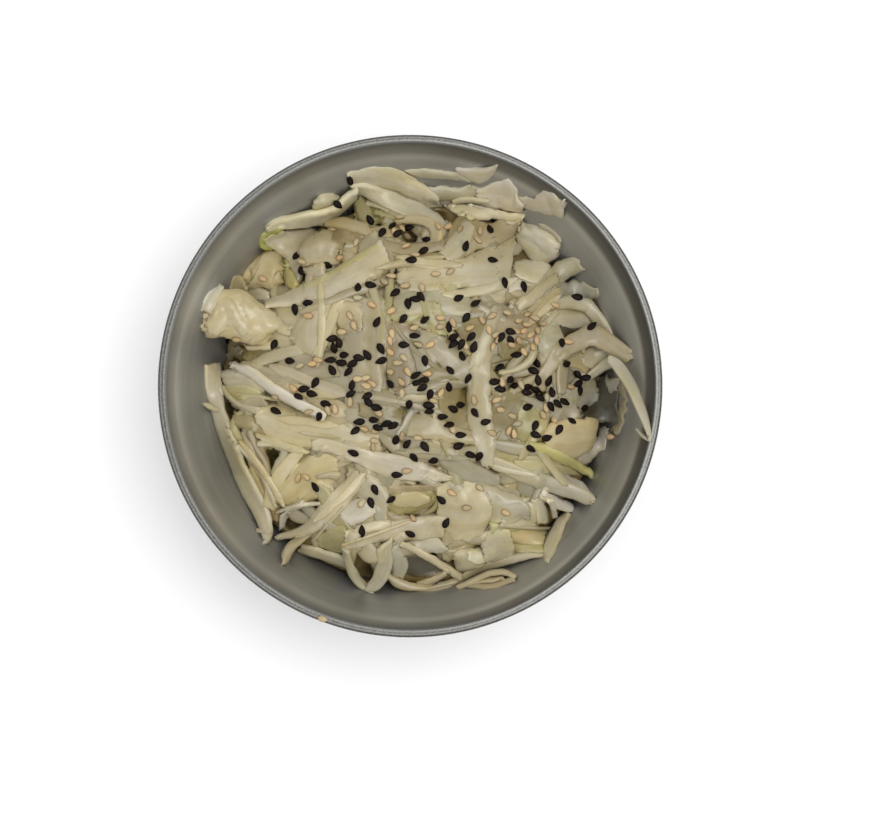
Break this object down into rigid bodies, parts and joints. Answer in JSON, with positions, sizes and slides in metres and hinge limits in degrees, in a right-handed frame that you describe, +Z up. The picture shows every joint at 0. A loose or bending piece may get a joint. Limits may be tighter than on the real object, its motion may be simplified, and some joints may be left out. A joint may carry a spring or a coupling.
{
  "type": "bowl of coleslaw",
  "caption": "Round steel bowl with a rolled lip, filled with an uneven heap of shredded white cabbage with sesame seeds on top.",
  "frame": {"origin": "centre of the bowl's flat base, on the surface it stands on", "axes": "+Z up along the bowl's axis; +X and +Y are the right and the upper side of the picture, which looks down from the -Y side"},
  "size_m": [0.134, 0.134, 0.054],
  "materials": {
    "steel": "satin, fine scratches",
    "cabbage": "moist, slightly translucent",
    "black_sesame": "matt",
    "white_sesame": "matt, lightly toasted"
  },
  "bodies": {
    "root": {"bowl": "steel", "coleslaw": "cabbage"}
  },
  "joints": []
}
